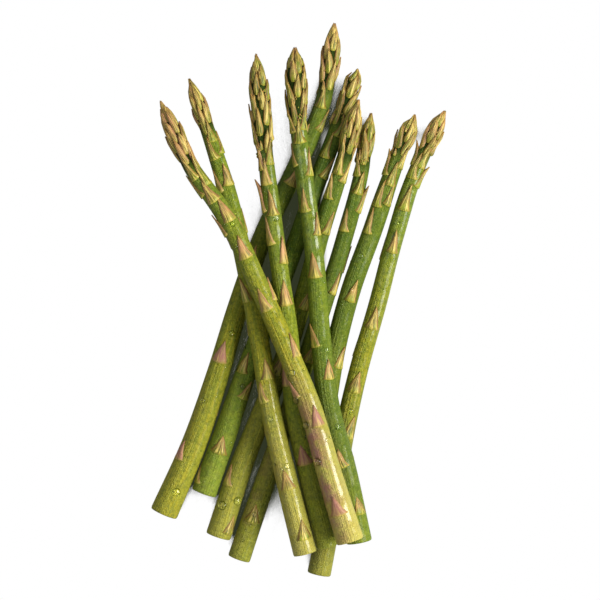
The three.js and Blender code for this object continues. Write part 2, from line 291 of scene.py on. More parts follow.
# %% Node helpers
def new_group(name, **inputs):
    """A shader group that takes numbers and gives out one mask."""
    group = bpy.data.node_groups.new(name, "ShaderNodeTree")
    for label, value in inputs.items():
        socket = group.interface.new_socket(name=label, in_out="INPUT", socket_type="NodeSocketFloat")
        socket.default_value = value
    group.interface.new_socket(name="Mask", in_out="OUTPUT", socket_type="NodeSocketFloat")
    return group, group.nodes.new("NodeGroupInput"), group.nodes.new("NodeGroupOutput")


def feed(tree, node, inputs):
    """Sets or links the node's inputs. One called i0 or i1 is found by its number."""
    for name, value in inputs.items():
        socket = node.inputs[int(name[1:])] if name[0] == "i" and name[1:].isdigit() else node.inputs[name]
        if hasattr(value, "is_output"):
            tree.links.new(value, socket)
        else:
            socket.default_value = value


def add_node(tree, kind, settings=None, **inputs):
    node = tree.nodes.new(kind)
    for name, value in (settings or {}).items():
        setattr(node, name, value)
    feed(tree, node, inputs)
    return node


def colour_mix(tree, mask, first, second):
    """The first colour, and the second where the mask is 1. Each is a link or three numbers."""
    first, second = (colour if hasattr(colour, "is_output") else (*colour, 1) for colour in (first, second))
    return add_node(tree, "ShaderNodeMix", {"data_type": "RGBA"}, i0=mask, i6=first, i7=second).outputs[2]


# %% [markdown]
# ## Masks and ranges
# A mask is a number from 0 to 1 that says how much of a colour shows. It can be sharpened,
# multiplied by another, or turned into a range of roughness.

# %% Mask helpers
def between(tree, value, low, high):
    """A mask that rises from 0 at low to 1 at high."""
    smooth = {"interpolation_type": "SMOOTHSTEP"}
    limits = {"From Min": low, "From Max": high}
    return add_node(tree, "ShaderNodeMapRange", smooth, Value=value, **limits).outputs["Result"]


def stretched(tree, mask, lowest, highest):
    """A value that goes from lowest to highest as the mask goes from 0 to 1."""
    limits = {"To Min": lowest, "To Max": highest}
    return add_node(tree, "ShaderNodeMapRange", Value=mask, **limits).outputs["Result"]


def maths(tree, operation, first, second):
    return add_node(tree, "ShaderNodeMath", {"operation": operation}, i0=first, i1=second).outputs[0]


def times(tree, first, second):
    return maths(tree, "MULTIPLY", first, second)


def read_value(tree, name):
    """The number of that name that the mesh keeps at each corner."""
    return add_node(tree, "ShaderNodeAttribute", {"attribute_name": name}).outputs["Fac"]


# %% [markdown]
# ## Streaks
# Plant skin is never one flat green. Long soft streaks are noise that is fine across the stem
# and slow along it. They read the stem's own numbers, so they bend with it. Several finishes
# use them, so they are one group, which gives out a mask and leaves the colours to each.

# %% The streak group
streaks, streaks_in, streaks_out = new_group("stem_streaks", Across=9.0, Along=0.05)
scaled = [
    times(streaks, read_value(streaks, source), streaks_in.outputs[scale])
    for source, scale in (("turn_x", "Across"), ("turn_y", "Across"), ("along", "Along"))
]
streak_place = add_node(streaks, "ShaderNodeCombineXYZ", X=scaled[0], Y=scaled[1], Z=scaled[2])
streak_noise = add_node(
    streaks, "ShaderNodeTexNoise", Vector=streak_place.outputs[0], Scale=1.0, Detail=2.0, Roughness=0.5
)
streaks.links.new(between(streaks, streak_noise.outputs["Fac"], 0.3, 0.7), streaks_out.inputs["Mask"])
print("made group", streaks.name)

# %% [markdown]
# ## Mottling
# The mottling is plain noise in object space. Its two limits set how sharp and how common the
# spots are, so one group gives both a soft wax bloom and hard specks.

# %% The mottle group
mottle, mottle_in, mottle_out = new_group("skin_mottle", Scale=400.0, Low=0.4, High=0.62)
mottle_noise = add_node(
    mottle, "ShaderNodeTexNoise", Vector=add_node(mottle, "ShaderNodeTexCoord").outputs["Object"],
    Scale=mottle_in.outputs["Scale"], Detail=4.0, Roughness=0.65,
)
mottle_limits = {"From Min": mottle_in.outputs["Low"], "From Max": mottle_in.outputs["High"]}
mottle_mask = add_node(mottle, "ShaderNodeMapRange", Value=mottle_noise.outputs["Fac"], **mottle_limits)
mottle.links.new(mottle_mask.outputs["Result"], mottle_out.inputs["Mask"])
print("made group", mottle.name)

# %% [markdown]
# ## Starting a material
# Every material starts from Blender's own all-round shader. A group is placed in it with its
# own scale, and fine relief comes in as a bump.

# %% Material helpers
def use_group(tree, group, **values):
    return add_node(tree, "ShaderNodeGroup", {"node_tree": group}, **values).outputs["Mask"]


def new_material(name):
    material = bpy.data.materials.new(name)
    material.use_nodes = True
    tree = material.node_tree
    return material, tree, tree.nodes["Principled BSDF"]


def add_bump(tree, shader, height, strength, distance):
    bump = add_node(tree, "ShaderNodeBump", Height=height, Strength=strength, Distance=distance)
    tree.links.new(bump.outputs[0], shader.inputs["Normal"])


def show_mix(tree, mask, first, second):
    """The material shows the first shader, and the second where the mask is 1."""
    mix = add_node(tree, "ShaderNodeMixShader", i0=mask, i1=first, i2=second)
    tree.links.new(mix.outputs[0], tree.nodes["Material Output"].inputs["Surface"])


# %% [markdown]
# ## The stem's colour
# A stem is yellow-green low down and a deeper green towards the head. Darker streaks run
# along it, a thin wax bloom and small spots break the colour up, and some stems blush purple
# or turn pale at the cut. Each of these is one mix over the last, with its own mask. The core
# of the head is painted nearly black as shade, because it is only seen in the shaded gaps between the bracts.

# %% Stem colour
stem_skin, tree, shader = new_material("asparagus_stem")
tone = read_value(tree, "tone")
in_head = read_value(tree, "in_head")
low_green = colour_mix(tree, tone, (0.315, 0.265, 0.009), (0.110, 0.195, 0.008))
high_green = colour_mix(tree, tone, (0.125, 0.180, 0.009), (0.055, 0.105, 0.007))
skin = colour_mix(tree, between(tree, read_value(tree, "rise"), 0.40, 0.80), low_green, high_green)
long_streaks = times(tree, use_group(tree, streaks, Across=4.5, Along=0.035), 0.6)
skin = colour_mix(tree, long_streaks, skin, (0.080, 0.140, 0.009))
wax_bloom = times(tree, use_group(tree, mottle, Scale=300.0), 0.34)
skin = colour_mix(tree, wax_bloom, skin, (0.300, 0.320, 0.022))
dim_spots = times(tree, use_group(tree, mottle, Scale=560.0, Low=0.47, High=0.62), 0.55)
skin = colour_mix(tree, dim_spots, skin, (0.055, 0.090, 0.006))
# painted shade: a deeper green where other spears shade the stem
skin = colour_mix(tree, read_value(tree, "painted_shade"), skin, (0.040, 0.080, 0.006))
skin = colour_mix(tree, read_value(tree, "pale"), skin, (0.480, 0.420, 0.105))
blotches = times(tree, read_value(tree, "blush"), use_group(tree, mottle, Scale=110.0, Low=0.38, High=0.58))
skin = colour_mix(tree, blotches, skin, (0.250, 0.110, 0.075))
specks = times(tree, use_group(tree, mottle, Scale=1500.0, Low=0.58, High=0.66), 0.38)
skin = colour_mix(tree, specks, skin, (0.440, 0.450, 0.080))
# painted shade: the core of the head, seen only in the gaps between the bracts, is painted nearly black
skin = colour_mix(tree, in_head, skin, (0.018, 0.034, 0.006))
skin = colour_mix(tree, read_value(tree, "tip"), skin, (0.300, 0.170, 0.070))
tree.links.new(skin, shader.inputs["Base Color"])
print("coloured", stem_skin.name)

# %% [markdown]
# ## The stem's shine and relief
# The skin is waxy, and a damp stem has a clear coat over the wax, which the mottling breaks
# up, since water doesn't lie evenly. Ribs and pits are finer than the mesh, so they are a bump.

# %% Stem shine and relief
damp_patches = use_group(tree, mottle, Scale=170.0, Low=0.40, High=0.56)
feed(tree, shader, {
    "Coat Weight": times(tree, read_value(tree, "wet"), damp_patches),
    "Coat Roughness": 0.15,
    "Roughness": stretched(tree, use_group(tree, mottle, Scale=300.0), 0.38, 0.55),
    "Specular IOR Level": stretched(tree, in_head, 0.17, 0.02),
})
ribs = use_group(tree, streaks, Across=10.0, Along=0.02)
pits = use_group(tree, mottle, Scale=900.0)
add_bump(tree, shader, maths(tree, "ADD", ribs, pits), 0.7, 0.0004)
print("finished", stem_skin.name)

# %% [markdown]
# ## The colour of the leaf scales
# A scale is a thin dry leaf. Its foot is a pale yellow-green ledge, its middle tan or olive
# and its point pinkish brown. The mesh carries how far a corner is from the foot, how near to
# an edge, and how pink its leaf is. The leaf's own number makes no two quite the same.

# %% Leaf scale colour
leaf_skin, tree, shader = new_material("asparagus_scale")
foot_to_tip = read_value(tree, "leaf_rise")
own = read_value(tree, "leaf_own")
pink = read_value(tree, "leaf_pink")
tan = colour_mix(tree, own, (0.320, 0.230, 0.045), (0.125, 0.160, 0.008))
rosy = colour_mix(tree, own, (0.450, 0.235, 0.095), (0.290, 0.165, 0.040))
body = colour_mix(tree, pink, tan, rosy)
foot = colour_mix(tree, between(tree, pink, 0.6, 1.0), (0.220, 0.260, 0.011), (0.340, 0.260, 0.050))
leaf = colour_mix(tree, between(tree, foot_to_tip, 0.05, 0.48), foot, body)
green_cloud = times(
    tree, use_group(tree, mottle, Scale=330.0, Low=0.45, High=0.60), between(tree, foot_to_tip, 0.85, 0.45)
)
not_pink = between(tree, pink, 1.0, 0.35)
leaf = colour_mix(tree, times(tree, green_cloud, not_pink), leaf, (0.150, 0.185, 0.012))
leaf = colour_mix(tree, between(tree, foot_to_tip, 0.60, 1.0), leaf, (0.350, 0.180, 0.045))
mauve_share = times(tree, between(tree, pink, 1.15, 1.6), between(tree, foot_to_tip, -0.5, 0.45))
leaf = colour_mix(tree, mauve_share, leaf, (0.300, 0.130, 0.095))
print("coloured", leaf_skin.name)

# %% [markdown]
# ## The veins and edges of a leaf scale
# Fine veins run to the point, some paler and some darker than the leaf. The dry edges are the
# brownest, and the foot has a light rim where the scale leaves the stem.

# %% Leaf scale veins and edges
vein_share = between(tree, pink, 3.2, 0.0)
pale_lines = between(tree, use_group(tree, streaks, Across=4.0, Along=0.12), 0.50, 0.85)
leaf = colour_mix(tree, times(tree, pale_lines, vein_share), leaf, (0.540, 0.420, 0.105))
dark_lines = between(tree, use_group(tree, streaks, Across=7.0, Along=0.20), 0.50, 0.85)
leaf = colour_mix(tree, times(tree, dark_lines, vein_share), leaf, (0.060, 0.062, 0.006))
dry_edge = times(tree, between(tree, read_value(tree, "leaf_edge"), 0.45, 0.95), 0.70)
edge_brown = colour_mix(tree, between(tree, pink, 0.6, 1.0), (0.200, 0.095, 0.022), (0.330, 0.165, 0.085))
leaf = colour_mix(tree, dry_edge, leaf, edge_brown)
foot_rim = times(tree, between(tree, foot_to_tip, 0.10, 0.0), 0.55)
leaf = colour_mix(tree, foot_rim, leaf, (0.360, 0.330, 0.045))
feed(tree, shader, {
    "Base Color": leaf, "Roughness": 0.48, "Specular IOR Level": 0.25,
    "Coat Weight": 0.12, "Coat Roughness": 0.22,
})
add_bump(tree, shader, use_group(tree, streaks, Across=7.0, Along=0.10), 0.6, 0.0002)
print("finished", leaf_skin.name)

# %% [markdown]
# ## The cut flesh
# The cut end shows pale flesh with the ends of its fibres as small dots. A Voronoi pattern
# gives both the dots and the slight roughness of the knife's cut.

# %% Cut flesh
cut_flesh, tree, shader = new_material("asparagus_cut")
cut_place = add_node(tree, "ShaderNodeTexCoord")
fibres = add_node(tree, "ShaderNodeTexVoronoi", Vector=cut_place.outputs["Object"], Scale=900.0)
dots = between(tree, fibres.outputs["Distance"], 0.12, 0.34)
flesh = colour_mix(tree, dots, (0.20, 0.20, 0.04), (0.42, 0.40, 0.13))
flesh = colour_mix(tree, use_group(tree, mottle, Scale=260.0), flesh, (0.38, 0.33, 0.09))
feed(tree, shader, {"Base Color": flesh, "Roughness": 0.6})
add_bump(tree, shader, fibres.outputs["Distance"], 0.4, 0.0003)
print("made", cut_flesh.name)

# %% [markdown]
# ## The water
# The drops are clear water with water's index of refraction. A bead looks darker round its
# rim, where it bends the green of the skin in, so that dark rim is painted shade in its tint. A clear surface
# would throw too dark a shadow here, so to a shadow ray the drop is simply see-through.

# %% Water
water, tree, shader = new_material("clear_water")
# painted shade: the bead's rim is tinted dark green, standing in for the light the water bends
bead_rim_painted_shade = between(tree, read_value(tree, "bead_rim_painted_shade"), 0.40, 1.0)
feed(tree, shader, {
    "Base Color": colour_mix(tree, bead_rim_painted_shade, (1.0, 1.0, 1.0), (0.15, 0.19, 0.05)),
    "Roughness": stretched(tree, use_group(tree, mottle, Scale=200.0), 0.0, 0.03),
    "Transmission Weight": 1.0, "IOR": 1.33,
})
light_path = add_node(tree, "ShaderNodeLightPath")
let_light_in = add_node(tree, "ShaderNodeBsdfTransparent", Color=(0.95, 0.97, 0.93, 1))
show_mix(tree, light_path.outputs["Is Shadow Ray"], shader.outputs[0], let_light_in.outputs[0])
print("made", water.name)

# %% [markdown]
# ## How each stem looks
# No two stems are alike. Each has its own share of green, purple flush, pale foot and wet
# shine, and some have painted shade, a deeper green over part of their length where other spears lie over them.

# %% The looks of the ten stems
STEM_LOOKS = {  # how green, how flushed with purple, how pale towards the cut, how wet
    "a": (0.0, 1.0, 0.70, 0.95), "b": (0.05, 0.2, 0.45, 0.70), "c": (0.6, 0.1, 0.1, 0.55),
    "d": (0.80, 0.1, 0.0, 0.90), "e": (0.12, 0.05, 0.1, 0.06), "f": (0.95, 0.05, 0.1, 0.04),
    "g": (0.3, 0.1, 0.25, 0.06), "h": (0.5, 0.3, 0.15, 0.06), "i": (0.65, 0.1, 0.1, 0.12),
    "j": (0.1, 0.15, 0.20, 0.45),
}
# painted shade: how dark each stem is painted where other spears shade it, and how far up
PAINTED_SHADE_SPANS = {  # how deep, and how far up
    "d": (0.60, 0.26), "e": (0.55, 0.66), "f": (0.60, 0.72), "g": (0.45, 0.70), "h": (0.62, 0.62),
    "i": (0.60, 0.52), "j": (0.50, 0.14),
}
PAINTED_SHADE_REACH = 0.26
DAMP_SPAN = {  # where the shine starts and ends, as shares of the length
    "a": (0.02, 0.32), "b": (0.0, 0.36), "c": (0.50, 0.82), "d": (0.55, 0.86), "j": (0.50, 0.90),
}
DRY_SHARE = 0.22  # how much of the shine is left outside that span
print("looks of", len(STEM_LOOKS), "stems")

# %% [markdown]
# ## The stems
# A stem could be a swept curve, but a curve can't narrow to a neck and carry numbers for its
# material. A flat grid can: one side of the grid runs along the spear and the other once
# round it. Rolled up, its seam is merged and its ends close at poles. The solid's ledges
# under each scale come from the scales themselves, so here the skin stays smooth.

# %% The radius of the skin
STEM_SIDES = 40
STEM_STEPS = 175
HEAD_STEPS = 52
RIM_STATIONS = [0.0, 0.1, 0.3, 0.6, 1.0]  # mm from the cut
RIM_SHARES = np.array([0.72, 0.93, 0.97, 0.985])  # of the radius there, so the rim is rounded


def stem_stations(spear):
    """Distances along the spear, closer together in the head and at the cut rim."""
    length, head = spear["length"], spear["head_length"]
    stem = np.linspace(1.6, length - head, STEM_STEPS)
    top = length - head + (head + 0.5) * np.linspace(0, 1, HEAD_STEPS)[1:] ** 0.9
    return np.concatenate([RIM_STATIONS, stem, top])


def skin_radius(spear, along, around, row, last_row):
    """The core's radius with a rounded cut rim, a slight wave round it and a closed tip."""
    radius = core_radius(spear, along)
    radius = np.where(row < 4, radius * RIM_SHARES[np.minimum(row, 3)], radius)
    wave = 1 + 0.012 * np.sin(3 * around + along * 0.03) + 0.008 * np.sin(5 * around + 1.7 + along * 0.05)
    nub = 0.75 * np.sqrt(np.clip(1 - ((along - spear["length"] + 1.2) / 1.75) ** 2, 0, 1))
    radius = np.maximum(radius * wave, np.where(along > spear["length"] - 4, nub, 0))
    return np.where(row == last_row, 0.02, radius)


# %% [markdown]
# ## Rolling up a stem
# The corners keep how far along and which way round they are, for the streaks to read. The
# way round is kept as a cosine and a sine, which have no jump at the seam.

# %% Rolling up a stem
def rolled_stem(spear):
    """A flat grid rolled up along the spear, its seam merged and its ends closed."""
    stations = stem_stations(spear)
    last_row = len(stations) - 1
    bm = bmesh.new()
    bmesh.ops.create_grid(bm, x_segments=STEM_SIDES, y_segments=last_row, size=0.5)
    flat = corner_array(bm)
    row = np.rint((flat[:, 1] + 0.5) * last_row).astype(int)
    along = stations[row]
    around = (flat[:, 0] + 0.5) * 2 * math.pi
    move_corners(bm, place(spear, along, around, skin_radius(spear, along, around, row, last_row)))
    for key, values in {"along": along, "turn_x": np.cos(around), "turn_y": np.sin(around)}.items():
        layer = bm.verts.layers.float.new(key)
        for vert, value in zip(bm.verts, values):
            vert[layer] = value
    bmesh.ops.remove_doubles(bm, verts=bm.verts[:], dist=2e-6)
    rims = [e for e in bm.edges if e.is_boundary]
    bmesh.ops.holes_fill(bm, edges=rims, sides=STEM_SIDES + 2)
    bmesh.ops.recalc_face_normals(bm, faces=bm.faces[:])
    return bm


# %% [markdown]
# ## The numbers of the skin
# One material serves all stems, so what differs between and along them is kept in the mesh:
# the flush low on one side, the pale foot that fades upwards, the shine within its span.

# %% The numbers of the skin
def kept_values(mesh, name):
    values = np.zeros(len(mesh.vertices), np.float32)
    mesh.attributes[name].data.foreach_get("value", values)
    return values


def skin_numbers(mesh, name, spear):
    """How green, flushed, pale, painted with shade and wet the skin is at each corner."""
    green, flush, pale, wet = STEM_LOOKS[name]
    depth, centre = PAINTED_SHADE_SPANS.get(name, (0.0, 0.5))
    low, high = DAMP_SPAN.get(name, (0.0, 1.0))
    along, side = kept_values(mesh, "along"), kept_values(mesh, "turn_y")
    rise = along / spear["length"]
    head_foot = spear["length"] - spear["head_length"]
    in_head = np.clip((along - head_foot + 4) / 7, 0, 1)
    flush_at = np.clip(1.3 - np.abs(along - 36) / 40, 0, 1) * np.clip(0.65 - 0.7 * side, 0, 1)
    damp = np.clip((rise - low) / 0.05 + 0.5, DRY_SHARE, 1) * np.clip((high - rise) / 0.05 + 0.5, DRY_SHARE, 1)
    return {
        "rise": rise,
        "tone": np.full(len(along), green),
        "blush": flush_at * flush,
        "pale": pale * np.clip(1 - along / 95, 0, 1),
        "in_head": 0.96 * in_head,
        # painted shade along part of the stem, where other spears shade it
        "painted_shade": depth * np.exp(-((rise - centre) / PAINTED_SHADE_REACH) ** 2),
        "tip": np.clip((along - spear["length"] + 4) / 2, 0, 1),
        "wet": wet * damp * (1 - in_head),
    }


for name, spear in SPEARS.items():
    stem_piece = finished_piece("stem_" + name, rolled_stem(spear), stem_skin)
    for key, values in skin_numbers(stem_piece.data, name, spear).items():
        keep_values(stem_piece.data, key, values)
    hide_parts("spear_" + name)
print("stem_j has", len(stem_piece.data.polygons), "faces")

# %% [markdown]
# ## The leaf template
# Every scale and bract is the same kind of leaf, so one flat grid with a thickness is made
# once and used for all. Its corners say how far across, how far from foot to point, and
# whether they are on the outer or the inner side. A rule then gives each leaf its outline,
# its keel and its place on the stem.

# %% The leaf template
LEAF_COLUMNS = 4
LEAF_ROWS = 5
template = bmesh.new()
bmesh.ops.create_grid(template, x_segments=LEAF_COLUMNS, y_segments=LEAF_ROWS, size=1.0)
bmesh.ops.solidify(template, geom=template.faces[:], thickness=1.0)
bmesh.ops.recalc_face_normals(template, faces=template.faces[:])
leaf_mesh, LEAF_FLAT = template_mesh("leaf_template", template)
leaf_across = LEAF_FLAT[:, 0]
leaf_along = (LEAF_FLAT[:, 1] + 1) / 2
leaf_along = leaf_along * (0.45 + 0.55 * leaf_along)  # rows closer together at the foot
leaf_outer = (LEAF_FLAT[:, 2] > LEAF_FLAT[:, 2].mean()).astype(float)
print("leaf corners", len(LEAF_FLAT), "outer side", int(leaf_outer.sum()))


# %% [markdown]
# ## Outline and thickness of a leaf
# Stem scales flare at the foot and run up into a slim point. Low on the stem they are plain
# wide triangles. Head bracts are widest near the foot. A bract leaves the core at its foot
# and lies over its upper neighbours at its point, as roof shingles do the other way up, so
# that every bract shows its own outline and the gaps between them stay dark.

# %% Leaf outlines
def scale_outline(t):
    """Half width of a stem scale: a flared foot that runs up into a slim point."""
    return (1 - t) ** 0.8 * (0.56 + 0.44 * np.exp(-t / 0.13)) + 0.015


def broad_outline(t):
    """Half width of a scale low on the stem: a plain triangle that has been pulled wide."""
    return (1 - t) ** 0.9 * (0.82 + 0.18 * np.exp(-t / 0.12)) + 0.015


def bract_outline(t):
    """Half width of a head bract: a broad foot, then slowly narrowing to a point."""
    rise = np.clip(t / 0.16, 0, 1)
    return (0.72 + 0.28 * np.sin(rise * math.pi / 2)) * np.clip((1 - t) / 0.84, 0, 1) ** 0.62 + 0.015


def scale_height(t):
    """A stem scale is thickest at its foot."""
    return 1 - 0.45 * t


def bract_height(t):
    """A head bract rises from the core until it lies over its neighbours."""
    return 0.52 + 0.82 * t ** 0.75 - 0.30 * np.clip((t - 0.7) / 0.3, 0, 1) ** 2


# %% [markdown]
# ## The corners of one leaf
# Each template corner gets a distance along the spear, an angle round it and a distance out.
# The inner side sinks into the stem near the foot, and further up it follows the outer side,
# so that the point is a thin free blade.

# %% Corners of one leaf
def leaf_corners(spear, leaf):
    """Where the template's corners go for one leaf, and the numbers for its material."""
    t, u = leaf_along, leaf_across
    half = leaf["half_width"] * np.minimum(leaf["outline"](t), 1.0)
    wobble = 1 + leaf["ragged"] * np.sin(9 * t + leaf["phase"]) * np.abs(u)
    across = u * half * wobble + leaf["skew"] * (t ** 2) * leaf["half_width"]
    along = leaf["foot"] + t * leaf["length"] - leaf["dip"] * (1 - u ** 2) * (1 - t) ** 3
    close = np.clip((spear["length"] + 0.9 - along) / 3.2, 0, 1) ** 0.8
    held = np.minimum(along, spear["length"] - 0.05)
    surface = np.maximum(leaf["surface"](spear, held), 0.50)
    depth = np.maximum(outer_radius(spear, held) - surface, 0.60) if leaf["shingle"] else 1.0
    edge = leaf["edge"] + (0.50 * t if leaf["shingle"] else 0.0)
    rounded = edge + (1 - edge) * (1 - np.abs(u) ** leaf["round"])
    thick = leaf["height"] * depth * rounded * leaf["profile"](t) * close
    thick = thick * (1 - leaf["bevel"] * (1 - np.clip(t / 0.22, 0, 1)) ** 2)
    outer = surface + thick + leaf["lift"] * t ** 2 * close
    blade = leaf["free"] * np.clip((t - leaf["free_from"]) / 0.25, 0, 1)
    inner = (1 - blade) * np.maximum(surface - 0.5, 0.05) + blade * np.maximum(outer - 0.30 + 0.18 * t, 0.05)
    out = np.where(leaf_outer > 0, outer, np.minimum(inner, outer - 0.05))
    spots = place(spear, along, leaf["around"] + across / np.maximum(surface, 0.9), np.maximum(out, 0.03))
    return spots, t, np.abs(u)


# %% [markdown]
# ## Scales on the stem
# Scales that the eye can see stand where the picture shows them, and more stand at even steps
# up the underside. Each gets a little seeded chance in size and lean. The lower it grows, the
# wider and flatter it is, and on three spears the lowest are mauve.

# %% Scales on the stem
SCALE_PINK = {"a": 0.80, "c": 0.80, "e": 0.80}  # the other spears have 0.55
BROAD_FROM = {"a": 48, "b": 48}  # mm from the tip, on the other spears 88
UNDERSIDE_STEP = 23
SCALE = dict(
    edge=0.22, profile=scale_height, shingle=False, free=1.0, ragged=0.07, dip=0.7,
    round=1.4, bevel=0.2, surface=outer_radius,
)


def scale_spots(spear, draw):
    """Distance from the tip, turn, length, lift and size of each. Chance fills in a None."""
    spots = [(*scale, None, None)[:4] + (1.0,) for scale in spear["scales"]]
    turn = 150 + 60 * draw.random()
    from_tip = 50.0
    while from_tip < spear["length"] - 12:
        spots.append((from_tip, turn, None, None, 0.85))
        turn = turn - 75 if turn > 180 else turn + 62
        from_tip += UNDERSIDE_STEP
    return spots


def scale_pink(name, from_tip, low, draw):
    """How pink a scale is. Near the head it is hardly pink, and past 1 it is mauve."""
    if from_tip <= 50:
        return 0.45 * draw.random()
    pink = SCALE_PINK.get(name, 0.55)
    return pink + 0.3 * draw.random() + low * (pink > 0.7)


def stem_scales(name, spear, draw):
    scales = []
    for from_tip, turn, long, lift, size in scale_spots(spear, draw):
        low = max(0.0, min(1.0, (from_tip - 90) / 90))
        scales.append(dict(
            SCALE, foot=spear["length"] - from_tip, around=math.radians(turn),
            length=long or (11.0 - 2.6 * low) * (0.9 + 0.25 * draw.random()),
            half_width=(3.5 + 0.7 * low) * (0.9 + 0.2 * draw.random()),
            height=(0.85 - 0.35 * low) * size,
            lift=lift or (0.9 - 0.7 * low) * draw.random() ** 2,
            free_from=0.70 if lift else 0.35,
            phase=6 * draw.random(), skew=0.5 * (draw.random() - 0.5),
            outline=broad_outline if from_tip > BROAD_FROM.get(name, 88) else scale_outline,
            pink=scale_pink(name, from_tip, low, draw),
        ))
    return scales


# %% [markdown]
# ## Bracts on the head
# Each bract stands about 137.5 degrees round from the last, as on the plant, longer below and
# shorter near the tip. Small loose bracts stand among them, most on the heads that open.

# %% Bracts on the head
HEAD_PINK = {
    "a": 0.85, "b": 0.60, "c": 0.35, "d": 0.28, "e": 0.58,
    "f": 0.22, "g": 0.42, "h": 0.38, "i": 0.20, "j": 0.70,
}
BRACTS_PER_MM = {"c": 0.62, "d": 0.62, "f": 0.54, "g": 0.62}  # the other heads have 0.66
LOOSE_BRACTS = {"a": 3, "b": 2, "c": 26, "d": 22, "e": 8, "f": 22, "g": 14, "h": 12, "i": 6, "j": 12}
BRACT = dict(
    edge=0.16, profile=bract_height, shingle=True, free=1.0, free_from=0.35, ragged=0.10,
    dip=0.5, round=1.5, bevel=0.4, outline=bract_outline, surface=core_radius,
)
LOOSE_BRACT = dict(
    edge=0.12, profile=scale_height, shingle=False, free=0.6, free_from=0.35, ragged=0.1,
    dip=0.3, round=1.5, bevel=0.7, outline=bract_outline, surface=core_radius,
)


def head_bracts(name, spear, draw):
    bracts = []
    turn = 360 * draw.random()
    count = round(BRACTS_PER_MM.get(name, 0.66) * spear["head_length"])
    for number in range(count):
        share = number / (count - 1)
        from_tip = spear["head_length"] + 1 - (spear["head_length"] - 5.2) * share ** 0.9
        radius = float(outer_radius(spear, np.array([spear["length"] - from_tip]))[0])
        longest = (12.5 - 3.5 * share) * (0.85 + 0.3 * draw.random())
        bracts.append(dict(
            BRACT, foot=spear["length"] - from_tip, around=math.radians(turn),
            length=min(longest, from_tip + 0.6),
            half_width=min(1.9, 0.62 * radius) * (0.76 + 0.42 * draw.random()),
            height=0.96 + 0.08 * draw.random(), lift=0.5 * draw.random() ** 3,
            phase=6 * draw.random(), skew=0.9 * (draw.random() - 0.5),
            pink=min(1, max(0, HEAD_PINK[name] + 0.7 * (draw.random() - 0.5))),
        ))
        turn += SPIRAL_TURN + 16 * (draw.random() - 0.5)
    return bracts


def loose_bracts(name, spear, draw):
    bracts = []
    for _ in range(LOOSE_BRACTS[name]):
        from_tip = 6 + (spear["head_length"] - 4) * draw.random()
        bracts.append(dict(
            LOOSE_BRACT, foot=spear["length"] - from_tip, around=math.radians(360 * draw.random()),
            length=2.8 + 3.2 * draw.random(), half_width=0.7 + 0.45 * draw.random(),
            height=1.0 + 0.4 * draw.random(), lift=0.4 * draw.random(),
            phase=6 * draw.random(), skew=1.4 * (draw.random() - 0.5), pink=0.3 + 0.7 * draw.random(),
        ))
    return bracts


# %% [markdown]
# ## Growing the leaves
# All leaves of a spear are copies of the template in one mesh. Each keeps how pink it is and
# a number of its own, and its own values for the stem's streaks, which make the veins.

# %% Growing the leaves
def make_leaves(name, spear, draw):
    leaves = [
        *stem_scales(name, spear, draw), *head_bracts(name, spear, draw), *loose_bracts(name, spear, draw)
    ]
    found = [leaf_corners(spear, leaf) for leaf in leaves]
    spots, rises, edges = (np.concatenate(part) for part in zip(*found))
    bm = copies_of(leaf_mesh, len(leaves))
    move_corners(bm, spots)
    bmesh.ops.recalc_face_normals(bm, faces=bm.faces[:])
    piece = finished_piece("scales_" + name, bm, leaf_skin)
    mesh, size = piece.data, len(LEAF_FLAT)
    keep_values(mesh, "leaf_rise", rises)
    keep_values(mesh, "leaf_edge", edges)
    keep_values(mesh, "leaf_own", np.repeat([draw.random() for _ in leaves], size))
    keep_values(mesh, "leaf_pink", np.repeat([leaf["pink"] for leaf in leaves], size))
    keep_values(mesh, "turn_x", np.tile(leaf_across, len(leaves)))
    keep_values(mesh, "turn_y", np.repeat([leaf["phase"] for leaf in leaves], size))
    keep_values(mesh, "along", rises * 10)
    print(piece.name, len(leaves), "leaves", len(mesh.polygons), "faces")


for number, (name, spear) in enumerate(SPEARS.items()):
    make_leaves(name, spear, random.Random(41 + number))

# %% [markdown]
# ## The buds
# Behind the bracts of a loose head, tiny round buds show as grains. Each is a low ball, and
# they stand in small clusters where a bract leaves a gap.

# %% Buds between the bracts
BUD_CLUSTERS = {"c": 20, "d": 20, "f": 20, "e": 4, "g": 10, "h": 10, "i": 4, "j": 5, "a": 2, "b": 2}
BUDS_IN_CLUSTER = 6

bud = bmesh.new()
bmesh.ops.create_icosphere(bud, subdivisions=1, radius=MM)
bud_mesh, BUD_FLAT = template_mesh("bud_template", bud)


def make_buds(name, spear, clusters, draw):
    seats = []
    for _ in range(clusters):
        from_tip = 4 + (spear["head_length"] - 4) * draw.random()
        around = math.radians(360 * draw.random())
        for _ in range(BUDS_IN_CLUSTER):
            along = np.array([spear["length"] - from_tip + 2.4 * (draw.random() - 0.5)])
            turn = np.array([around + 0.6 * (draw.random() - 0.5)])
            out = core_radius(spear, along) + 0.1 + 0.45 * draw.random()
            seats.append(BUD_FLAT * (0.26 + 0.18 * draw.random()) * (1, 1.3, 1) + place(spear, along, turn, out))
    bm = copies_of(bud_mesh, len(seats))
    move_corners(bm, np.concatenate(seats))
    piece = finished_piece("buds_" + name, bm, leaf_skin)
    each = len(BUD_FLAT)
    keep_values(piece.data, "leaf_rise", np.repeat([0.1 + 0.8 * draw.random() for _ in seats], each))
    keep_values(piece.data, "leaf_own", np.repeat([draw.random() for _ in seats], each))
    keep_values(piece.data, "leaf_edge", np.full(len(seats) * each, 0.1))
    keep_values(piece.data, "leaf_pink", np.full(len(seats) * each, 0.2))
    return piece


for number, (name, spear) in enumerate(SPEARS.items()):
    bud_piece = make_buds(name, spear, BUD_CLUSTERS[name], random.Random(90 + number))
print("buds_j has", len(bud_piece.data.polygons), "faces")

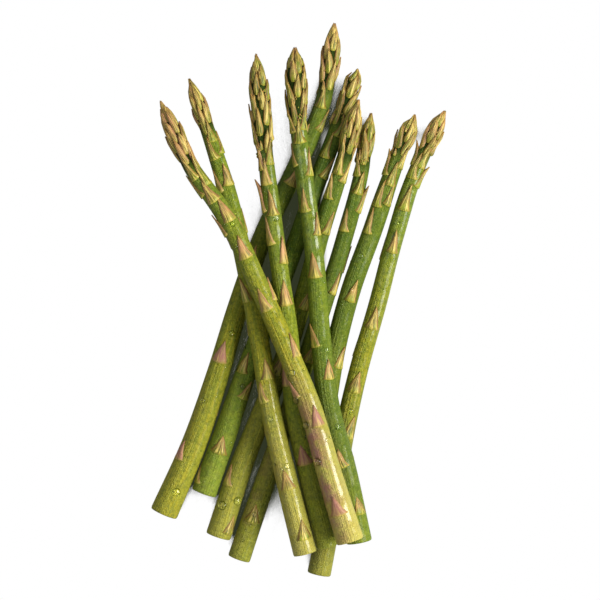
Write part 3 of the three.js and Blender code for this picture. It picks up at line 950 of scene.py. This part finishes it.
# %% [markdown]
# ## The cut ends
# A knife leaves a flat, slightly dished face. A disc of rings covers the end of the stem, a
# hair in front of the skin's own closing face, with its rim turned down over the edge.

# %% Cut ends
CUT_SHARE = 0.955  # of the stem's radius there

for name, spear in SPEARS.items():
    bm = bmesh.new()
    bmesh.ops.create_circle(bm, cap_ends=True, cap_tris=True, segments=48, radius=1.0)
    bmesh.ops.subdivide_edges(bm, edges=bm.edges[:], cuts=3, use_grid_fill=True)
    flat = corner_array(bm)
    reach = np.hypot(flat[:, 0], flat[:, 1])
    around = np.arctan2(flat[:, 0], flat[:, 1])
    radius = float(outer_radius(spear, np.array([0.0]))[0])
    along = np.where(reach > 0.97, 0.35, -0.12 + 0.1 * (1 - reach ** 2))
    move_corners(bm, place(spear, along, around, reach * radius * CUT_SHARE))
    bmesh.ops.recalc_face_normals(bm, faces=bm.faces[:])
    outward = -sum((f.normal for f in bm.faces), Vector()).dot(Vector(spear["forward"][0]))
    if outward < 0:
        bmesh.ops.reverse_faces(bm, faces=bm.faces[:])
    bmesh.ops.solidify(bm, geom=bm.faces[:], thickness=0.0002)
    cut_piece = finished_piece("cut_" + name, bm, cut_flesh)
print("cut_j has", len(cut_piece.data.polygons), "faces")

# %% [markdown]
# ## Water drops
# Fresh spears are sprayed, and beads of one to three millimetres sit on the skin. Each bead
# is a low dome, a squashed ball sunk into the stem.

# %% Water drops
DROP_HEIGHT = 0.62  # of its radius, because a drop settles
BIG_DROPS = [  # spear, mm from the cut, degrees round from the top, radius in mm
    ("e", 12, 12, 2.0), ("g", 14.5, -29, 2.2), ("g", 18.5, 40, 2.1), ("a", 38, -42, 1.9), ("a", 55, -52, 1.7),
    ("a", 67, -68, 1.9), ("a", 79, -20, 1.5), ("e", 88, 12, 1.5), ("e", 55, -30, 1.4), ("i", 128, -15, 1.5),
    ("i", 112, 5, 1.3), ("d", 88, 30, 1.4), ("d", 53, 22, 1.5), ("b", 40, 20, 1.4), ("b", 62, -10, 1.2),
    ("j", 76, 10, 1.4), ("f", 52, 8, 1.3), ("c", 150, 20, 1.5), ("h", 22, 0, 1.3), ("a", 150, 15, 1.2),
]


def ball_template(name, segments, rings):
    bm = bmesh.new()
    bmesh.ops.create_uvsphere(bm, u_segments=segments, v_segments=rings, radius=1.0)
    return template_mesh(name, bm)


def make_drops(name, template, flat, spots):
    bm = copies_of(template, len(spots))
    corners = []
    for spear_name, along, degrees, size in spots:
        spear, turn = SPEARS[spear_name], math.radians(degrees)
        surface = float(outer_radius(spear, np.array([along]))[0])
        out = surface + flat[:, 2] * size * DROP_HEIGHT
        corners.append(place(spear, along + flat[:, 1] * size, turn + flat[:, 0] * size / surface, out))
    move_corners(bm, np.concatenate(corners))
    bmesh.ops.recalc_face_normals(bm, faces=bm.faces[:])
    piece = finished_piece(name, bm, water)
    # how near each corner is to the bead's rim, for the painted rim shade
    keep_values(piece.data, "bead_rim_painted_shade", np.tile(np.hypot(flat[:, 0], flat[:, 1]), len(spots)))
    return piece


def mist_spots(draw, count):
    spots = []
    for _ in range(count):
        name = draw.choice(list(SPEARS))
        along = SPEARS[name]["length"] * (0.02 + 0.76 * draw.random())
        spots.append((name, along, 130 * (draw.random() - 0.5), 0.22 + 0.6 * draw.random() ** 2.5))
    return spots


bead_piece = make_drops("water_beads", *ball_template("bead_template", 24, 14), BIG_DROPS)
print("water_beads has", len(bead_piece.data.polygons), "faces")
drops_piece = make_drops("water_drops", *ball_template("drop_template", 8, 6), mist_spots(random.Random(7), 260))
print("water_drops has", len(drops_piece.data.polygons), "faces")

# %% [markdown]
# ## The floor
# The picture is taken from straight above a plain white surface. A three-cornered sheet, far
# wider than the picture, is enough for that.

# %% Floor
bm = bmesh.new()
bmesh.ops.create_circle(bm, cap_ends=True, segments=3, radius=8.0)
floor_mesh, _ = template_mesh("floor", bm)
floor = new_object("floor", floor_mesh)
floor.location = (0, 0, -0.0003)
print("laid", floor.name)

# %% [markdown]
# ## The floor's paint
# The camera sees white where the floor is open, and painted shade, nearly black, where stems close in on it.
# Ambient occlusion and patches set by place tell them apart. To all other light the floor is a dull grey.

# %% Floor paint
floor_white_and_painted_shade, tree, shader = new_material("floor_white_and_painted_shade")
feed(tree, shader, {"Base Color": (0.30, 0.30, 0.28, 1), "Roughness": 0.9})
closeness = add_node(tree, "ShaderNodeAmbientOcclusion", {"samples": 16}, Distance=0.022)
floor_object = add_node(tree, "ShaderNodeTexCoord").outputs["Object"]
floor_place = add_node(tree, "ShaderNodeSeparateXYZ", Vector=floor_object).outputs
floor_x, floor_y = floor_place["X"], floor_place["Y"]
right_part = times(tree, between(tree, floor_x, 0.009, 0.013), between(tree, floor_y, 0.080, 0.070))
# painted shade: in this patch the floor turns dark sooner, and the patches below keep it white
painted_shade_patch_x = times(tree, between(tree, floor_x, -0.020, -0.014), between(tree, floor_x, 0.012, 0.006))
painted_shade_patch = times(tree, painted_shade_patch_x, between(tree, floor_y, 0.0525, 0.0500))
nearness = maths(tree, "ADD", closeness.outputs["AO"], times(tree, painted_shade_patch, -0.10))
in_gap = between(tree, nearness, 0.31, 0.375)
outside = maths(tree, "MAXIMUM", right_part, between(tree, floor_y, 0.098, 0.104))
open_floor = maths(tree, "MAXIMUM", in_gap, outside)
# painted shade: nearly black where stems close in on the floor, white where it is open
seen_floor_with_painted_shade = colour_mix(tree, open_floor, (0.030, 0.036, 0.018), (1.0, 1.0, 1.0))
glow = add_node(tree, "ShaderNodeEmission", Color=seen_floor_with_painted_shade, Strength=1.0)
seen = add_node(tree, "ShaderNodeLightPath")
show_mix(tree, seen.outputs["Is Camera Ray"], shader.outputs[0], glow.outputs[0])
floor_mesh.materials.append(floor_white_and_painted_shade)
print("made", floor_white_and_painted_shade.name)

# %% [markdown]
# ## The light
# White from all round fills the shadows. The soft box stands low on the right, so its
# reflection is a narrow band along each damp stem, and its light leaves the left sides dim.

# %% Light
world = bpy.data.worlds.new("studio")
bpy.context.scene.world = world
world.use_nodes = True
background = world.node_tree.nodes["Background"]
feed(world.node_tree, background, {"Color": (1.0, 1.0, 1.0, 1), "Strength": 0.42})


def soft_box(name, place_at, size, power, tint=(1, 1, 1)):
    lamp = bpy.data.lights.new(name, "AREA")
    lamp.shape = "RECTANGLE"
    lamp.size, lamp.size_y = size
    lamp.energy = power
    lamp.color = tint
    holder = new_object(name, lamp)
    holder.location = place_at
    holder.rotation_euler = (-Vector(place_at)).to_track_quat("-Z", "Y").to_euler()


soft_box("key", (0.92, 0.02, 0.78), (1.30, 0.62), 34.0, (1.0, 0.97, 0.92))
soft_box("fill", (-0.5, 0.5, 1.2), (0.9, 0.9), 3.0)
print("lit by", len(bpy.data.lights), "soft boxes and the world")

# %% [markdown]
# ## The camera
# The camera looks straight down. Its lens is worked out from its height and from how much of
# the floor the picture's edge shows, so that the spears fall where the picture has them.

# %% Camera
CAMERA_HEIGHT = 0.75
FLOOR_SEEN = 0.276
camera_data = bpy.data.cameras.new("camera")
camera_data.sensor_width = 36.0
camera_data.lens = 36.0 * CAMERA_HEIGHT / FLOOR_SEEN
camera = new_object("camera", camera_data)
camera.location = (0, 0, CAMERA_HEIGHT)
bpy.context.scene.camera = camera
bpy.context.scene.view_settings.view_transform = "Standard"
print("camera lens", round(camera_data.lens, 1), "mm")
